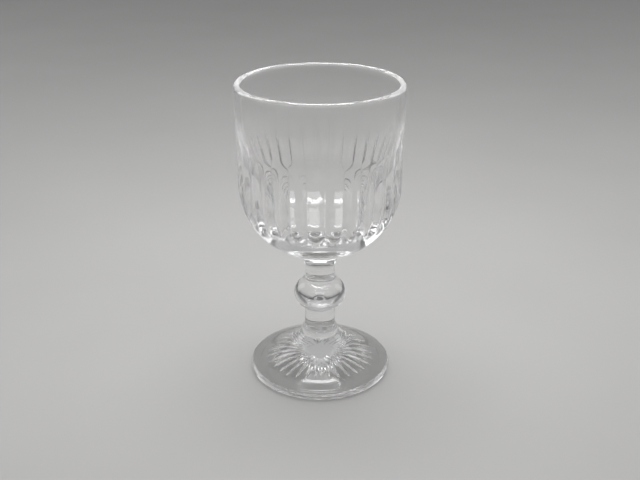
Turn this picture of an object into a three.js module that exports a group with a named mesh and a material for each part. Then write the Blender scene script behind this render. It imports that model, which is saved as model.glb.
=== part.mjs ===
// Short-stemmed red wine glass in clear pressed glass: a ribbed bowl on a knopped stem and a domed foot.
// Six gathers of glass are fused end to end, so each piece meets the next on a flat round joint face.
// Millimetres, +Z up. The origin is on the table, on the glass's axis, and -Y is the front.
import * as THREE from "three";

// Foot
const footRadius = 35.8;
const footHeight = 20;
const footEdge = 4.5; // thickness of the rounded edge
const footSweep = 1.6; // how strongly the upper side curves up to the crown
const footHollow = 5; // height of the hollow under the foot
const restWidth = 2.8; // flat ring that stands on the table
const footFluteStart = 3; // radius where the flutes under the foot begin
const footFluteMargin = 4; // plain glass between their outer ends and the flat ring
const footFluteDepth = 0.9;

// Collar between the foot and the stem
const collarRadius = 8.9;
const collarFlare = 0.5; // extra radius at the collar's lower edge
const collarHeight = 3.1;
const collarRounding = 0.6;

// Stem
const lowerStemRadius = 7.65;
const lowerStemLength = 11.7;
const upperStemRadius = 7.4;
const upperStemLength = 16.4;
const stemFillet = 0.6; // widening where the stem meets the collar and the knop
const flareHeight = 10.6; // top of the upper stem, spreading out under the bowl
const flareSpread = 5.9;

// Ball knop
const knopRadius = 13;
const knopHalfHeight = 9.55; // of the whole ellipsoid, before its two joint faces are cut

// Bowl
const rimRadius = 39.6;
const rimWall = 3;
const bowlRadius = 39.2; // outside, where the straight wall meets the rounded bottom
const wallHeight = 49.2; // straight wall, from the rounded bottom to the rim
const bottomDrop = 36.9; // height of the rounded bottom's half ellipse
const evenWall = 22; // how far below the rim the wall keeps its thickness
const bendLength = 8; // rounding, to each side, where the inside then turns in
const heelWall = 7.7; // wall where the inside meets its own rounded bottom
const insideRounding = 22; // height of that rounded bottom
const bottomThickness = 7.9; // glass above the joint with the stem

// Ribs round the bowl, one for one with the flutes under the foot
const ribCount = 30;
const ribDepth = 1.25; // of the valleys between them
const ribBelowRim = 26;
const ribFade = 13; // length over which a rib rises out of the plain wall
const ribEase = 1.5; // how softly that rise begins, as a power
const ribDrop = 18; // how far the ribs run down the rounded bottom
const ribEnd = 4; // length of a rib's rounded lower end

// Fineness of the solids: steps round each piece, and rows along its curves
const stepsPerRib = 4;
const ribbedSteps = ribCount * stepsPerRib;
const stemSteps = 48;
const filletRows = 3;
const edgeRows = 4;
const hollowRows = 8;
const sweepRows = 6;
const knopRows = 10;
const flareRows = 6;
const bottomRows = 5;
const ribRows = 14;
const bendRows = 4;
const insideRows = 7;

const { clamp } = THREE.MathUtils;
const quarterTurn = Math.PI / 2;

// A point of a turned piece's outline. cut is how deep the ribs' valleys or the flutes lie below it.
const point = (r, z, cut = 0) => ({ r, z, cut });

// count + 1 points along a curve, which gives a point for each share from 0 to 1.
const along = (count, curve) => Array.from({ length: count + 1 }, (_, i) => curve(i / count));

// Points of an ellipse's arc between two angles, measured from the outward radius towards +Z.
function arc(count, [r, z], [radial, upward], from, to) {
  return along(count, (share) => {
    const angle = from + share * (to - from);
    return point(r + radial * Math.cos(angle), z + upward * Math.sin(angle));
  });
}

// Turns an outline about +Z. It runs from the axis below, round the outside, to the axis above.
function turned(outline, steps) {
  const profile = outline.map(({ r, z }) => new THREE.Vector2(r, z));
  return new THREE.LatheGeometry(profile, steps).rotateX(quarterTurn);
}

// Moves a turned piece's vertices into the glass where ribs or flutes run over them. across gives the share
// of the cut from a rib's middle, at 0, to its edge, at 1, and inward the way into the glass at a point.
function ribbed(outline, across, inward) {
  const geometry = turned(outline, ribbedSteps);
  const position = geometry.attributes.position;
  for (let i = 0; i < position.count; i += 1) {
    const at = outline[i % outline.length];
    const stepInRib = Math.floor(i / outline.length) % stepsPerRib;
    const fromMiddle = Math.min(stepInRib, stepsPerRib - stepInRib) / (stepsPerRib / 2);
    const cut = at.cut * across(fromMiddle);
    const [inwardRadial, inwardUp] = inward(at);
    const shrink = at.r > 0 ? (at.r + cut * inwardRadial) / at.r : 1;
    position.setXYZ(
      i,
      position.getX(i) * shrink,
      position.getY(i) * shrink,
      position.getZ(i) + cut * inwardUp,
    );
  }
  geometry.deleteAttribute("normal");
  geometry.computeVertexNormals();
  return geometry;
}

const clearGlass = () =>
  new THREE.MeshStandardMaterial({
    color: 0xe9f0ee,
    roughness: 0.04,
    metalness: 0,
    transparent: true,
    opacity: 0.35,
  });

function piece(name, geometry) {
  const mesh = new THREE.Mesh(geometry, clearGlass());
  mesh.name = name;
  return mesh;
}

// Radii of the round joint faces
const collarFootRadius = collarRadius + collarFlare;
const lowerStemEnd = lowerStemRadius + stemFillet;
const upperStemEnd = upperStemRadius + stemFillet;
const bowlJoint = upperStemRadius + flareSpread;

// Foot: hollow and fluted below, standing on a flat ring, and sweeping up to the collar above.
function foot() {
  const edgeRadius = footEdge / 2;
  const edgeCentre = footRadius - edgeRadius;
  const hollowRadius = edgeCentre - restWidth;
  const hollowAt = (r) => footHollow * (1 - (r / hollowRadius) ** 2);
  // The flutes are soft waves that widen and deepen outwards and run out at both ends
  const fluteEnd = hollowRadius - footFluteMargin;
  const hollow = along(hollowRows, (share) => {
    const r = footFluteStart + share * (fluteEnd - footFluteStart);
    return point(r, hollowAt(r), (footFluteDepth * Math.sin(Math.PI * share) * r) / fluteEnd);
  });
  const wave = (fromMiddle) => (1 + Math.cos(Math.PI * fromMiddle)) / 2;
  const edge = arc(edgeRows, [edgeCentre, edgeRadius], [edgeRadius, edgeRadius], -quarterTurn, quarterTurn);
  const sweep = along(sweepRows, (share) => {
    const r = edgeCentre - share * (edgeCentre - collarFootRadius);
    return point(r, footEdge + (footHeight - footEdge) * share ** footSweep);
  });
  const outline = [
    point(0, footHollow),
    ...hollow,
    point(hollowRadius, 0),
    ...edge,
    ...sweep.slice(1),
    point(0, footHeight),
  ];
  return piece("foot", ribbed(outline, wave, () => [0, 1]));
}

// Collar: a low ring, a little wider at its lower edge, whose rounded shoulder runs in to the stem.
function collar() {
  const shoulder = [lowerStemEnd, collarHeight - collarRounding];
  const outline = [
    point(0, 0),
    point(collarFootRadius, 0),
    ...arc(filletRows, shoulder, [collarRadius - lowerStemEnd, collarRounding], 0, quarterTurn),
    point(0, collarHeight),
  ];
  return piece("foot_collar", turned(outline, stemSteps));
}

// Hollow fillet at a stem's end, whose joint face is at height z. up is 1 at a lower end, -1 at an upper one.
function endFillet(stemRadius, z, up) {
  const centre = [stemRadius + stemFillet, z + up * stemFillet];
  const points = arc(filletRows, centre, [-stemFillet, -up * stemFillet], quarterTurn, 0);
  return up > 0 ? points : points.reverse();
}

function lowerStem() {
  const outline = [
    point(0, 0),
    ...endFillet(lowerStemRadius, 0, 1),
    ...endFillet(lowerStemRadius, lowerStemLength, -1),
    point(0, lowerStemLength),
  ];
  return piece("lower_stem", turned(outline, stemSteps));
}

// Height of the knop's joint face of that radius, from the knop's middle
const knopFaceAt = (radius) => knopHalfHeight * Math.sqrt(1 - (radius / knopRadius) ** 2);

function ballKnop() {
  const middle = knopFaceAt(lowerStemEnd);
  const below = -Math.acos(lowerStemEnd / knopRadius);
  const above = Math.acos(upperStemEnd / knopRadius);
  const outline = [
    point(0, 0),
    ...arc(knopRows, [0, middle], [knopRadius, knopHalfHeight], below, above),
    point(0, middle + knopFaceAt(upperStemEnd)),
  ];
  return piece("ball_knop", turned(outline, stemSteps));
}

// Upper stem: a plain neck that flares out under the bowl in an arc that starts in line with the neck.
function upperStem() {
  const flareRadius = (flareHeight ** 2 + flareSpread ** 2) / (2 * flareSpread);
  const flareStart = upperStemLength - flareHeight;
  const flareAngle = Math.atan2(flareHeight, flareRadius - flareSpread);
  const centre = [upperStemRadius + flareRadius, flareStart];
  const outline = [
    point(0, 0),
    ...endFillet(upperStemRadius, 0, 1),
    ...arc(flareRows, centre, [-flareRadius, flareRadius], 0, flareAngle),
    point(0, upperStemLength),
  ];
  return piece("upper_stem", turned(outline, stemSteps));
}

// Bowl: outside, a straight wall above half an ellipse, with ribs that swell between sharp valleys; inside,
// an even wall below the round rim, then a straight run in to a rounded bottom, where the glass is thick.
function bowl() {
  const jointAngle = Math.asin(bowlJoint / bowlRadius);
  const shoulder = bottomDrop * Math.cos(jointAngle);
  const rimHeight = shoulder + wallHeight;
  const rimRound = rimWall / 2;
  const ribTop = rimHeight - ribBelowRim;
  const ribBottom = shoulder - ribDrop;
  const bottomAngle = Math.asin(ribDrop / bottomDrop);
  const slope = (rimRadius - bowlRadius) / wallHeight;
  const outsideAt = (z) =>
    z < shoulder
      ? bowlRadius * Math.sqrt(1 - ((shoulder - z) / bottomDrop) ** 2)
      : bowlRadius + slope * (z - shoulder);
  const ribCutAt = (z) => {
    const end = clamp((z - ribBottom) / ribEnd, 0, 1);
    const rise = clamp((ribTop - z) / ribFade, 0, 1);
    return ribDepth * Math.min(Math.sin(quarterTurn * end), rise ** ribEase);
  };
  const wall = along(ribRows, (share) => {
    const z = ribBottom + share * (ribTop - ribBottom);
    return point(outsideAt(z), z, ribCutAt(z));
  });
  const mouth = new THREE.Vector2(rimRadius - rimWall, rimHeight - rimRound);
  const bend = new THREE.Vector2(outsideAt(rimHeight - evenWall) - rimWall, rimHeight - evenWall);
  const heel = new THREE.Vector2(bowlRadius - heelWall, bottomThickness + insideRounding);
  const bendTo = (end) => end.clone().sub(bend).setLength(bendLength).add(bend);
  const turn = new THREE.QuadraticBezierCurve(bendTo(mouth), bend, bendTo(heel));
  const outline = [
    point(0, 0),
    ...arc(bottomRows, [0, shoulder], [bowlRadius, bottomDrop], jointAngle - quarterTurn, -bottomAngle),
    ...wall.slice(1),
    ...arc(edgeRows, [rimRadius - rimRound, mouth.y], [rimRound, rimRound], 0, Math.PI),
    ...turn.getPoints(bendRows).map(({ x, y }) => point(x, y)),
    ...arc(insideRows, [0, heel.y], [heel.x, insideRounding], 0, -quarterTurn),
  ];
  // Into the glass, square to the outside
  const inward = ({ r, z }) => {
    if (z > shoulder) return [-1, 0];
    const across = r / bowlRadius ** 2;
    const down = (shoulder - z) / bottomDrop ** 2;
    const length = Math.hypot(across, down);
    return [-across / length, down / length];
  };
  const swell = (fromMiddle) => fromMiddle ** 2;
  return piece("bowl", ribbed(outline, swell, inward));
}

// The stack: each piece stands on the joint face of the one below it.
const glass = new THREE.Group();
glass.name = "wine_glass";
const stack = [
  [foot(), footHeight],
  [collar(), collarHeight],
  [lowerStem(), lowerStemLength],
  [ballKnop(), knopFaceAt(lowerStemEnd) + knopFaceAt(upperStemEnd)],
  [upperStem(), upperStemLength],
  [bowl(), 0],
];
let level = 0;
for (const [mesh, height] of stack) {
  mesh.position.z = level;
  glass.add(mesh);
  level += height;
}

export default glass;
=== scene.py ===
import math

import bpy
import numpy as np
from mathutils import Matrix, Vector


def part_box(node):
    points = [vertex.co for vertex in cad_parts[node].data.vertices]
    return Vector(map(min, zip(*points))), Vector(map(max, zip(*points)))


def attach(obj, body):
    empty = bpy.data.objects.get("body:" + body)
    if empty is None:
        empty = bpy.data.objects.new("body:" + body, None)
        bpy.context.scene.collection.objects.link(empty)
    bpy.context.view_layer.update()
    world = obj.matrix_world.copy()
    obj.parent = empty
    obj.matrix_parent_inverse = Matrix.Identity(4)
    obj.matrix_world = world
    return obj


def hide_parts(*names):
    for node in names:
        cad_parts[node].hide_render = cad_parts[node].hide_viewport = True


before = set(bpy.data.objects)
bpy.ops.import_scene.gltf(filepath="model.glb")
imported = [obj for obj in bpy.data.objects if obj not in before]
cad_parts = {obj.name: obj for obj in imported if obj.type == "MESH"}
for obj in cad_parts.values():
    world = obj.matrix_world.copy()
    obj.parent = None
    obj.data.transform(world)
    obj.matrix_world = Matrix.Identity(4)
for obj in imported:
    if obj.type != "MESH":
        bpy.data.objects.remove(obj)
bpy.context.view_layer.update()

scene = bpy.context.scene
quarterTurn = math.pi / 2
fullTurn = 2 * math.pi

# Joint heights and radii come from the frame, so every piece meets its neighbours where the CAD says
nodeBox = {name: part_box(name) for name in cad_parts}
lowOf = {name: low.z for name, (low, high) in nodeBox.items()}
highOf = {name: high.z for name, (low, high) in nodeBox.items()}
radiusOf = {name: (high.x - low.x) / 2 for name, (low, high) in nodeBox.items()}
print("frame: joint heights", {name: round(z * 1000, 2) for name, z in lowOf.items()})


# Outlines are lists of (radius, height, depth). They run from the axis below, round the outside, to the
# axis above. depth is how far ribs or flutes cut into the glass there, and is zero where it is plain.
plain = 0.0
leastStep = 1e-12  # guards a division where neighbouring points meet


def arcPoints(count, centre, size, start, end):
    angles = np.linspace(start, end, count + 1)
    return [(centre[0] + size[0] * math.cos(a), centre[1] + size[1] * math.sin(a), plain) for a in angles]


def straightPoints(count, start, end):
    shares = np.linspace(0, 1, count + 1)
    return [(start[0] + s * (end[0] - start[0]), start[1] + s * (end[1] - start[1]), plain) for s in shares]


def inwardDirections(outline):
    r = np.array([p[0] for p in outline])
    z = np.array([p[1] for p in outline])
    dr, dz = np.gradient(r), np.gradient(z)
    length = np.maximum(np.hypot(dr, dz), leastStep)
    return -dz / length, dr / length  # square to the outline, into the glass


ribs = {
    "count": 30,  # round the bowl, and as many flutes under the foot
    "across": [0.0, 0.22, 0.42, 0.6, 0.75, 0.86, 0.94],  # samples from a rib's middle to its edge
    "edgeSoftness": 0.04,  # rounding of the edges between them, from fire polishing
}


# Columns of points round a ribbed piece, and how far each is from the middle of its rib
def ribColumns():
    half = ribs["across"]
    across = [-1.0] + [-u for u in reversed(half[1:])] + half
    columns = [(k + u / 2, abs(u)) for k in range(ribs["count"]) for u in across]
    return np.array([c[0] for c in columns]) * fullTurn / ribs["count"], np.array([c[1] for c in columns])


# Each column comes with its share of the full depth: a rib swells between two valleys with softened edges
def swellColumns():
    angles, fromMiddle = ribColumns()
    softness = ribs["edgeSoftness"]
    return angles, (1 + softness - np.hypot(1 - fromMiddle, softness)) ** 2


def waveColumns():
    angles, fromMiddle = ribColumns()
    return angles, (1 + np.cos(math.pi * fromMiddle)) / 2


def plainColumns(count):
    return np.arange(count) * fullTurn / count, np.zeros(count)


glassSlot, jointSlot = 0, 1
sharpAngle = math.radians(50)  # steeper edges, as at the joint faces, are shaded sharp


# Turns an outline into one closed mesh.
# jointEnds names the ends that are fused joint faces: "low", "high" or both.
def turnPiece(name, outline, columns, jointEnds):
    angles, shares = columns
    body = outline[1:-1]
    radial, upward = inwardDirections(outline)
    rings = []
    for i, (r, z, depth) in enumerate(body, start=1):
        cut = depth * shares
        ringRadius = r + cut * radial[i]
        rings.append(np.stack([
            ringRadius * np.sin(angles),
            -ringRadius * np.cos(angles),
            z + cut * upward[i],
        ], axis=1))
    count = len(angles)
    vertices = np.concatenate([[[0, 0, outline[0][1]]], *rings, [[0, 0, outline[-1][1]]]])
    last = len(vertices) - 1
    faces, slots = [], []
    for k in range(count):
        faces.append((0, 1 + (k + 1) % count, 1 + k))
        slots.append(jointSlot if "low" in jointEnds else glassSlot)
    for row in range(len(body) - 1):
        base = 1 + row * count
        for k in range(count):
            after = (k + 1) % count
            faces.append((base + k, base + after, base + count + after, base + count + k))
            slots.append(glassSlot)
    base = 1 + (len(body) - 1) * count
    for k in range(count):
        faces.append((base + k, base + (k + 1) % count, last))
        slots.append(jointSlot if "high" in jointEnds else glassSlot)
    mesh = bpy.data.meshes.new(name)
    mesh.from_pydata(vertices.tolist(), [], faces)
    mesh.polygons.foreach_set("material_index", slots)
    mesh.polygons.foreach_set("use_smooth", [slot == glassSlot for slot in slots])
    mesh.validate()
    mesh.set_sharp_from_angle(angle=sharpAngle)
    piece = bpy.data.objects.new(name, mesh)
    scene.collection.objects.link(piece)
    return piece


skinDetail = {
    "ripple": 1.5,  # fineness of the noise behind the ripples
    "marks": 4,  # and of the noise behind the finger marks
    "markStart": 0.52,  # level of that noise where a mark begins
    "markFull": 0.75,  # level where it is full
}


# Surface detail shared by every piece: slow ripples from pressing, finger marks and a faint uneven tint
def makeGlassSkin():
    group = bpy.data.node_groups.new("glassSkin", "ShaderNodeTree")
    for label, kind, default in (
        ("Ripple Size", "NodeSocketFloat", 60.0),
        ("Mark Size", "NodeSocketFloat", 25.0),
        ("Clear Tint", "NodeSocketColor", (0.987, 0.988, 0.988, 1)),
        ("Thick Tint", "NodeSocketColor", (0.96, 0.961, 0.961, 1)),
        ("Polish", "NodeSocketFloat", 0.0),
        ("Marks", "NodeSocketFloat", 0.03),
    ):
        socket = group.interface.new_socket(label, in_out="INPUT", socket_type=kind)
        socket.default_value = default
    for label, kind in (
        ("Color", "NodeSocketColor"),
        ("Roughness", "NodeSocketFloat"),
        ("Height", "NodeSocketFloat"),
    ):
        group.interface.new_socket(label, in_out="OUTPUT", socket_type=kind)
    nodes, links = group.nodes, group.links
    given = nodes.new("NodeGroupInput")
    result = nodes.new("NodeGroupOutput")
    place = nodes.new("ShaderNodeTexCoord")
    ripple = nodes.new("ShaderNodeTexNoise")
    ripple.inputs["Detail"].default_value = skinDetail["ripple"]
    links.new(place.outputs["Object"], ripple.inputs["Vector"])
    links.new(given.outputs["Ripple Size"], ripple.inputs["Scale"])
    links.new(ripple.outputs["Fac"], result.inputs["Height"])
    marks = nodes.new("ShaderNodeTexNoise")
    marks.inputs["Detail"].default_value = skinDetail["marks"]
    links.new(place.outputs["Object"], marks.inputs["Vector"])
    links.new(given.outputs["Mark Size"], marks.inputs["Scale"])
    markRange = nodes.new("ShaderNodeMapRange")
    markRange.interpolation_type = "SMOOTHSTEP"
    markRange.inputs["From Min"].default_value = skinDetail["markStart"]
    markRange.inputs["From Max"].default_value = skinDetail["markFull"]
    links.new(marks.outputs["Fac"], markRange.inputs["Value"])
    links.new(given.outputs["Polish"], markRange.inputs["To Min"])
    links.new(given.outputs["Marks"], markRange.inputs["To Max"])
    links.new(markRange.outputs["Result"], result.inputs["Roughness"])
    tint = nodes.new("ShaderNodeMix")
    tint.data_type = "RGBA"
    links.new(ripple.outputs["Fac"], tint.inputs["Factor"])
    links.new(given.outputs["Clear Tint"], tint.inputs["A"])
    links.new(given.outputs["Thick Tint"], tint.inputs["B"])
    links.new(tint.outputs["Result"], result.inputs["Color"])
    return group


glassSkin = makeGlassSkin()
glassIndex = 1.52  # refractive index of soda glass


def makeGlass(name, look):
    material = bpy.data.materials.new(name)
    material.use_nodes = True
    nodes, links = material.node_tree.nodes, material.node_tree.links
    nodes.clear()
    output = nodes.new("ShaderNodeOutputMaterial")
    glass = nodes.new("ShaderNodeBsdfPrincipled")
    glass.inputs["IOR"].default_value = glassIndex
    glass.inputs["Transmission Weight"].default_value = 1.0
    glass.inputs["Metallic"].default_value = 0.0
    skin = nodes.new("ShaderNodeGroup")
    skin.node_tree = glassSkin
    for label, value in look["skin"].items():
        skin.inputs[label].default_value = value
    bump = nodes.new("ShaderNodeBump")
    bump.inputs["Strength"].default_value = look["rippleStrength"]
    bump.inputs["Distance"].default_value = look["rippleDepth"]
    links.new(skin.outputs["Color"], glass.inputs["Base Color"])
    links.new(skin.outputs["Roughness"], glass.inputs["Roughness"])
    links.new(skin.outputs["Height"], bump.inputs["Height"])
    links.new(bump.outputs["Normal"], glass.inputs["Normal"])
    # Lamps reach the table through the glass, so it throws a light shadow
    paths = nodes.new("ShaderNodeLightPath")
    lampWay = nodes.new("ShaderNodeBsdfTransparent")
    lampWay.inputs["Color"].default_value = look["shadow"]
    choose = nodes.new("ShaderNodeMixShader")
    links.new(paths.outputs["Is Shadow Ray"], choose.inputs["Fac"])
    links.new(glass.outputs["BSDF"], choose.inputs[1])
    links.new(lampWay.outputs["BSDF"], choose.inputs[2])
    links.new(choose.outputs["Shader"], output.inputs["Surface"])
    return material


# The fused joints: light passes from one piece of glass to the next as if they were one
def makeFusedJoint():
    material = bpy.data.materials.new("fusedJoint")
    material.use_nodes = True
    nodes, links = material.node_tree.nodes, material.node_tree.links
    nodes.clear()
    output = nodes.new("ShaderNodeOutputMaterial")
    through = nodes.new("ShaderNodeBsdfTransparent")
    through.inputs["Color"].default_value = (1, 1, 1, 1)
    links.new(through.outputs["BSDF"], output.inputs["Surface"])
    return material


fusedJoint = makeFusedJoint()
bowlGlass = makeGlass("bowlGlass", {
    "skin": {"Ripple Size": 45.0, "Mark Size": 22.0, "Polish": 0.0, "Marks": 0.012},
    "rippleStrength": 0.1,
    "rippleDepth": 0.0003,
    "shadow": (0.91, 0.912, 0.91, 1),
})
stemGlass = makeGlass("stemGlass", {
    "skin": {"Ripple Size": 70.0, "Mark Size": 30.0, "Polish": 0.0, "Marks": 0.01},
    "rippleStrength": 0.3,
    "rippleDepth": 0.0003,
    "shadow": (0.85, 0.852, 0.85, 1),
})
footGlass = makeGlass("footGlass", {
    "skin": {"Ripple Size": 55.0, "Mark Size": 26.0, "Polish": 0.0, "Marks": 0.02},
    "rippleStrength": 0.35,
    "rippleDepth": 0.0003,
    "shadow": (0.87, 0.872, 0.87, 1),
})
print("materials: bowl, stem and foot glass made")


def dressPiece(piece, material, node):
    piece.data.materials.append(material)
    piece.data.materials.append(fusedJoint)
    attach(piece, "root")
    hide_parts(node)
    print("piece:", piece.name, len(piece.data.vertices), "points")


foot = {
    "edge": 0.0045,  # thickness of the rounded edge
    "sweep": 1.6,  # how strongly the upper side curves up to the crown
    "hollow": 0.005,
    "restWidth": 0.0028,
    "fluteStart": 0.003,  # radius where the flutes underneath begin
    "fluteMargin": 0.004,  # plain glass between their outer ends and the flat ring
    "fluteDepth": 0.0009,
    "innermost": 0.001,  # radius of the first ring of points round the axis
    "hollowRows": 64,
    "edgeRows": 20,
    "sweepRows": 40,
}


def makeFoot():
    edgeRadius = foot["edge"] / 2
    edgeCentre = radiusOf["foot"] - edgeRadius
    hollowRadius = edgeCentre - foot["restWidth"]
    fluteEnd = hollowRadius - foot["fluteMargin"]
    crownRadius, crown = radiusOf["foot_collar"], highOf["foot"]
    outline = [(0, foot["hollow"], plain)]
    for r in np.linspace(foot["innermost"], hollowRadius, foot["hollowRows"]):
        z = foot["hollow"] * (1 - (r / hollowRadius) ** 2)
        share = min(max((r - foot["fluteStart"]) / (fluteEnd - foot["fluteStart"]), 0), 1)
        outline.append((r, z, foot["fluteDepth"] * math.sin(math.pi * share) * r / fluteEnd))
    edgeSize = (edgeRadius, edgeRadius)
    outline += arcPoints(foot["edgeRows"], (edgeCentre, edgeRadius), edgeSize, -quarterTurn, quarterTurn)
    for share in np.linspace(0, 1, foot["sweepRows"])[1:]:
        r = edgeCentre - share * (edgeCentre - crownRadius)
        outline.append((r, foot["edge"] + (crown - foot["edge"]) * share ** foot["sweep"], plain))
    outline.append((0, crown, plain))
    piece = turnPiece("domed_foot", outline, waveColumns(), ("high",))
    dressPiece(piece, footGlass, "foot")


collar = {"radius": 0.0089, "rounding": 0.0006, "sideRows": 6, "roundingRows": 10, "columns": 160}


def makeCollar():
    low, high = lowOf["foot_collar"], highOf["foot_collar"]
    topRadius = radiusOf["lower_stem"]
    outline = [(0, low, plain)]
    shoulder = high - collar["rounding"]
    side = (radiusOf["foot_collar"], low), (collar["radius"], shoulder)
    outline += straightPoints(collar["sideRows"], *side)
    size = (collar["radius"] - topRadius, collar["rounding"])
    outline += arcPoints(collar["roundingRows"], (topRadius, shoulder), size, 0, quarterTurn)[1:]
    outline.append((0, high, plain))
    piece = turnPiece("collar_ring", outline, plainColumns(collar["columns"]), ("low", "high"))
    dressPiece(piece, stemGlass, "foot_collar")


stem = {
    "lowerRadius": 0.00765,
    "upperRadius": 0.0074,
    "fillet": 0.0006,
    "flareHeight": 0.0106,
    "filletRows": 8,
    "lowerRows": 12,
    "upperRows": 8,
    "flareRows": 40,
    "columns": 160,
}


def filletPoints(radius, jointHeight, up):
    centre = (radius + stem["fillet"], jointHeight + up * stem["fillet"])
    size = (-stem["fillet"], -up * stem["fillet"])
    points = arcPoints(stem["filletRows"], centre, size, quarterTurn, 0)
    return points if up > 0 else points[::-1]


def makeLowerStem():
    low, high = lowOf["lower_stem"], highOf["lower_stem"]
    radius = stem["lowerRadius"]
    outline = [(0, low, plain)]
    outline += filletPoints(radius, low, 1)
    side = (radius, low + stem["fillet"]), (radius, high - stem["fillet"])
    outline += straightPoints(stem["lowerRows"], *side)[1:-1]
    outline += filletPoints(radius, high, -1)
    outline.append((0, high, plain))
    piece = turnPiece("stem_neck_lower", outline, plainColumns(stem["columns"]), ("low", "high"))
    dressPiece(piece, stemGlass, "lower_stem")


knop = {
    "halfHeight": 0.00955,  # of the whole ellipsoid, before its joint faces are cut
    "rows": 72,
    "columns": 192,
}


def makeKnop():
    low, high = lowOf["ball_knop"], highOf["ball_knop"]
    radius = radiusOf["ball_knop"]
    below = math.acos(radiusOf["lower_stem"] / radius)
    above = math.acos((stem["upperRadius"] + stem["fillet"]) / radius)
    middle = low + knop["halfHeight"] * math.sin(below)
    outline = [(0, low, plain)]
    outline += arcPoints(knop["rows"], (0, middle), (radius, knop["halfHeight"]), -below, above)
    outline.append((0, high, plain))
    piece = turnPiece("knop_ball", outline, plainColumns(knop["columns"]), ("low", "high"))
    dressPiece(piece, stemGlass, "ball_knop")


def makeUpperStem():
    low, high = lowOf["upper_stem"], highOf["upper_stem"]
    radius = stem["upperRadius"]
    spread = radiusOf["upper_stem"] - radius
    rise = stem["flareHeight"]
    flareRadius = (rise ** 2 + spread ** 2) / (2 * spread)
    flareAngle = math.atan2(rise, flareRadius - spread)
    outline = [(0, low, plain)]
    outline += filletPoints(radius, low, 1)
    neck = (radius, low + stem["fillet"]), (radius, high - rise)
    outline += straightPoints(stem["upperRows"], *neck)[1:-1]
    centre = (radius + flareRadius, high - rise)
    outline += arcPoints(stem["flareRows"], centre, (-flareRadius, flareRadius), 0, flareAngle)
    outline.append((0, high, plain))
    piece = turnPiece("stem_neck_upper", outline, plainColumns(stem["columns"]), ("low", "high"))
    dressPiece(piece, stemGlass, "upper_stem")


bowl = {
    "radius": 0.0392,  # outside, where the straight wall meets the rounded bottom
    "rimWall": 0.003,
    "bottomDrop": 0.0369,  # height of the rounded bottom's half ellipse
    "evenWall": 0.022,  # how far below the rim the wall keeps its thickness
    "bendLength": 0.008,  # rounding, to each side, where the inside then turns in
    "heelWall": 0.0077,  # wall where the inside meets its own rounded bottom
    "insideRounding": 0.022,  # height of that rounded bottom
    "bottomThickness": 0.0079,  # glass above the joint with the stem
    "ribDepth": 0.00125,
    "ribBelowRim": 0.026,
    "ribFade": 0.013,  # length over which a rib rises out of the plain wall
    "ribEase": 1.5,  # how softly that rise begins
    "ribDrop": 0.018,  # how far the ribs run down the rounded bottom
    "ribEnd": 0.004,  # length of a rib's rounded lower end
}
bowlRows = {
    "bottom": 30,
    "ribEnd": 12,
    "ribs": 56,
    "plainWall": 10,
    "rim": 20,
    "mouth": 8,
    "bend": 17,
    "taper": 16,
    "inside": 60,
}


def makeBowl():
    low, high = lowOf["bowl"], highOf["bowl"]
    radius, drop = bowl["radius"], bowl["bottomDrop"]
    jointAngle = math.asin(radiusOf["upper_stem"] / radius)
    shoulder = low + drop * math.cos(jointAngle)
    rimRadius, rimRound = radiusOf["bowl"], bowl["rimWall"] / 2
    ribTop, ribBottom = high - bowl["ribBelowRim"], shoulder - bowl["ribDrop"]
    slope = (rimRadius - radius) / (high - shoulder)

    def outsideAt(z):
        if z < shoulder:
            return radius * math.sqrt(1 - ((shoulder - z) / drop) ** 2)
        return radius + slope * (z - shoulder)

    def ribDepthAt(z):
        end = min(max((z - ribBottom) / bowl["ribEnd"], 0), 1)
        rise = min(max((ribTop - z) / bowl["ribFade"], 0), 1)
        return bowl["ribDepth"] * min(math.sin(quarterTurn * end), rise ** bowl["ribEase"])

    bottomAngle = math.asin(bowl["ribDrop"] / drop)
    outline = [(0, low, plain)]
    bottomAngles = np.linspace(jointAngle - quarterTurn, -bottomAngle, bowlRows["bottom"])
    heights = [shoulder + drop * math.sin(a) for a in bottomAngles]
    fullRib = ribBottom + bowl["ribEnd"]
    heights += list(np.linspace(ribBottom, fullRib, bowlRows["ribEnd"])[1:])
    heights += list(np.linspace(fullRib, ribTop, bowlRows["ribs"])[1:])
    heights += list(np.linspace(ribTop, high - rimRound, bowlRows["plainWall"])[1:-1])
    for z in heights:
        outline.append((outsideAt(z), z, ribDepthAt(z)))
    rimCentre = (rimRadius - rimRound, high - rimRound)
    outline += arcPoints(bowlRows["rim"], rimCentre, (rimRound, rimRound), 0, math.pi)
    bendHeight = high - bowl["evenWall"]
    mouth = Vector((rimRadius - bowl["rimWall"], high - rimRound))
    bend = Vector((outsideAt(bendHeight) - bowl["rimWall"], bendHeight))
    heel = Vector((radius - bowl["heelWall"], low + bowl["bottomThickness"] + bowl["insideRounding"]))
    before = bend + bowl["bendLength"] * (mouth - bend).normalized()
    after = bend + bowl["bendLength"] * (heel - bend).normalized()
    outline += straightPoints(bowlRows["mouth"], mouth, before)[1:-1]
    for share in np.linspace(0, 1, bowlRows["bend"]):
        turned = before.lerp(bend, share).lerp(bend.lerp(after, share), share)
        outline.append((turned.x, turned.y, plain))
    outline += straightPoints(bowlRows["taper"], after, heel)[1:-1]
    insideSize = (heel.x, bowl["insideRounding"])
    outline += arcPoints(bowlRows["inside"], (0, heel.y), insideSize, 0, -quarterTurn)
    piece = turnPiece("ribbed_bowl", outline, swellColumns(), ("low",))
    dressPiece(piece, bowlGlass, "bowl")


makeFoot()
makeCollar()
makeLowerStem()
makeKnop()
makeUpperStem()
makeBowl()

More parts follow.
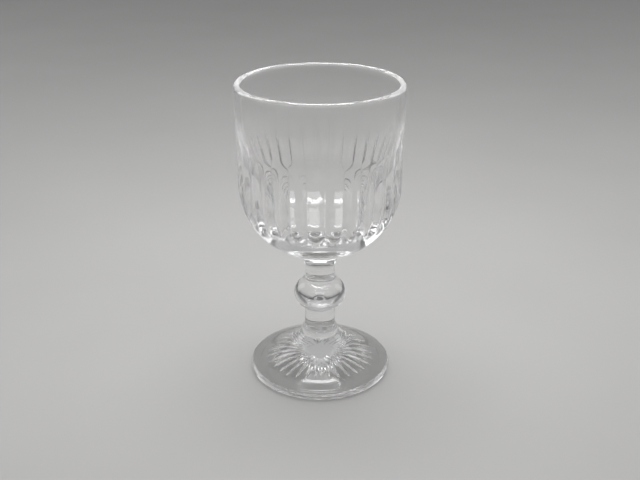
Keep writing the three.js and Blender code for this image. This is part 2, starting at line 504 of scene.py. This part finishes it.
# The camera stands where the photograph was taken from
camera = {
    "back": 0.4022,
    "up": 0.2507,
    "tiltDown": 24.13,
    "turn": 2.6,  # degrees round the glass, so that the ribs stand as in the photograph
    "focalPixels": 892.9,
    "imageWidth": 640,
    "sensorWidth": 36,
    "nearest": 0.01,
    "farthest": 50,
}


def makeCamera():
    data = bpy.data.cameras.new("photoCamera")
    data.sensor_width = camera["sensorWidth"]
    data.lens = camera["focalPixels"] / camera["imageWidth"] * data.sensor_width
    data.clip_start = camera["nearest"]
    data.clip_end = camera["farthest"]
    eye = bpy.data.objects.new("photoCamera", data)
    turn = math.radians(camera["turn"])
    eye.location = (camera["back"] * math.sin(turn), -camera["back"] * math.cos(turn), camera["up"])
    eye.rotation_euler = (quarterTurn - math.radians(camera["tiltDown"]), 0, turn)
    scene.collection.objects.link(eye)
    scene.camera = eye


# Pale floor, faintly mottled like matt board
board = {
    "radius": 5.0,
    "corners": 96,
    "pale": (0.54, 0.537, 0.529, 1),
    "shade": (0.495, 0.492, 0.485, 1),
    "mottleSize": 9.0,
    "roughness": 0.75,
    "grainDepth": 0.0002,
}


def makeFloor():
    bpy.ops.mesh.primitive_circle_add(
        vertices=board["corners"], radius=board["radius"], fill_type="NGON"
    )
    floor = bpy.context.object
    floor.name = "floor"
    material = bpy.data.materials.new("paleBoard")
    material.use_nodes = True
    nodes, links = material.node_tree.nodes, material.node_tree.links
    shader = nodes["Principled BSDF"]
    shader.inputs["Roughness"].default_value = board["roughness"]
    place = nodes.new("ShaderNodeTexCoord")
    mottle = nodes.new("ShaderNodeTexNoise")
    mottle.inputs["Scale"].default_value = board["mottleSize"]
    links.new(place.outputs["Object"], mottle.inputs["Vector"])
    tone = nodes.new("ShaderNodeMix")
    tone.data_type = "RGBA"
    tone.inputs["A"].default_value = board["pale"]
    tone.inputs["B"].default_value = board["shade"]
    links.new(mottle.outputs["Fac"], tone.inputs["Factor"])
    links.new(tone.outputs["Result"], shader.inputs["Base Color"])
    grain = nodes.new("ShaderNodeBump")
    grain.inputs["Distance"].default_value = board["grainDepth"]
    links.new(mottle.outputs["Fac"], grain.inputs["Height"])
    links.new(grain.outputs["Normal"], shader.inputs["Normal"])
    floor.data.materials.append(material)


# Soft light: a narrow box and a wide one overhead, two wide ones behind, tall ones at the sides, a dim tent
lamps = {
    "topSoftbox": {"place": (0, 0.075, 0.5), "size": (0.26, 0.06), "power": 1.0},
    "skySoftbox": {"place": (0, 0.05, 0.8), "size": (0.5, 0.4), "power": 2.2},
    "backSoftbox": {"place": (0, 0.45, 0.8), "size": (1.1, 0.45), "power": 0.8},
    "lowSoftbox": {"place": (0, 1.5, 0.72), "size": (2.8, 1.2), "power": 3.2},
    "leftSoftbox": {"place": (-1.2, 0.6, 0.52), "size": (0.6, 1.0), "power": 3.0},
    "rightSoftbox": {"place": (1.2, 0.6, 0.52), "size": (0.6, 1.0), "power": 2.8},
}
lampAim = (0, 0, 0.08)
tent = {"horizon": (0.13, 0.13, 0.13, 1), "zenith": (0.17, 0.17, 0.175, 1)}


def makeLamp(name, lamp):
    data = bpy.data.lights.new(name, "AREA")
    data.shape = "RECTANGLE"
    data.size, data.size_y = lamp["size"]
    data.energy = lamp["power"]
    piece = bpy.data.objects.new(name, data)
    piece.location = lamp["place"]
    piece.rotation_euler = (Vector(lampAim) - Vector(lamp["place"])).to_track_quat("-Z", "Y").to_euler()
    piece.visible_camera = False
    scene.collection.objects.link(piece)


def makeTent():
    world = bpy.data.worlds.new("studioTent")
    world.use_nodes = True
    nodes, links = world.node_tree.nodes, world.node_tree.links
    background = nodes["Background"]
    direction = nodes.new("ShaderNodeTexCoord")
    split = nodes.new("ShaderNodeSeparateXYZ")
    links.new(direction.outputs["Generated"], split.inputs["Vector"])
    tone = nodes.new("ShaderNodeMix")
    tone.data_type = "RGBA"
    tone.inputs["A"].default_value = tent["horizon"]
    tone.inputs["B"].default_value = tent["zenith"]
    links.new(split.outputs["Z"], tone.inputs["Factor"])
    links.new(tone.outputs["Result"], background.inputs["Color"])
    scene.world = world


makeCamera()
makeFloor()
for name, lamp in lamps.items():
    makeLamp(name, lamp)
makeTent()
# Light turns many times inside thick glass, and stopping it early would leave false dark patches
lightTurns = {"all": 48, "mirrored": 32, "through": 48, "straight": 32}
scene.cycles.max_bounces = lightTurns["all"]
scene.cycles.glossy_bounces = lightTurns["mirrored"]
scene.cycles.transmission_bounces = lightTurns["through"]
scene.cycles.transparent_max_bounces = lightTurns["straight"]
scene.cycles.caustics_reflective = False
scene.cycles.caustics_refractive = False
scene.view_settings.view_transform = "Standard"
print("stage: camera, floor and lamps made")
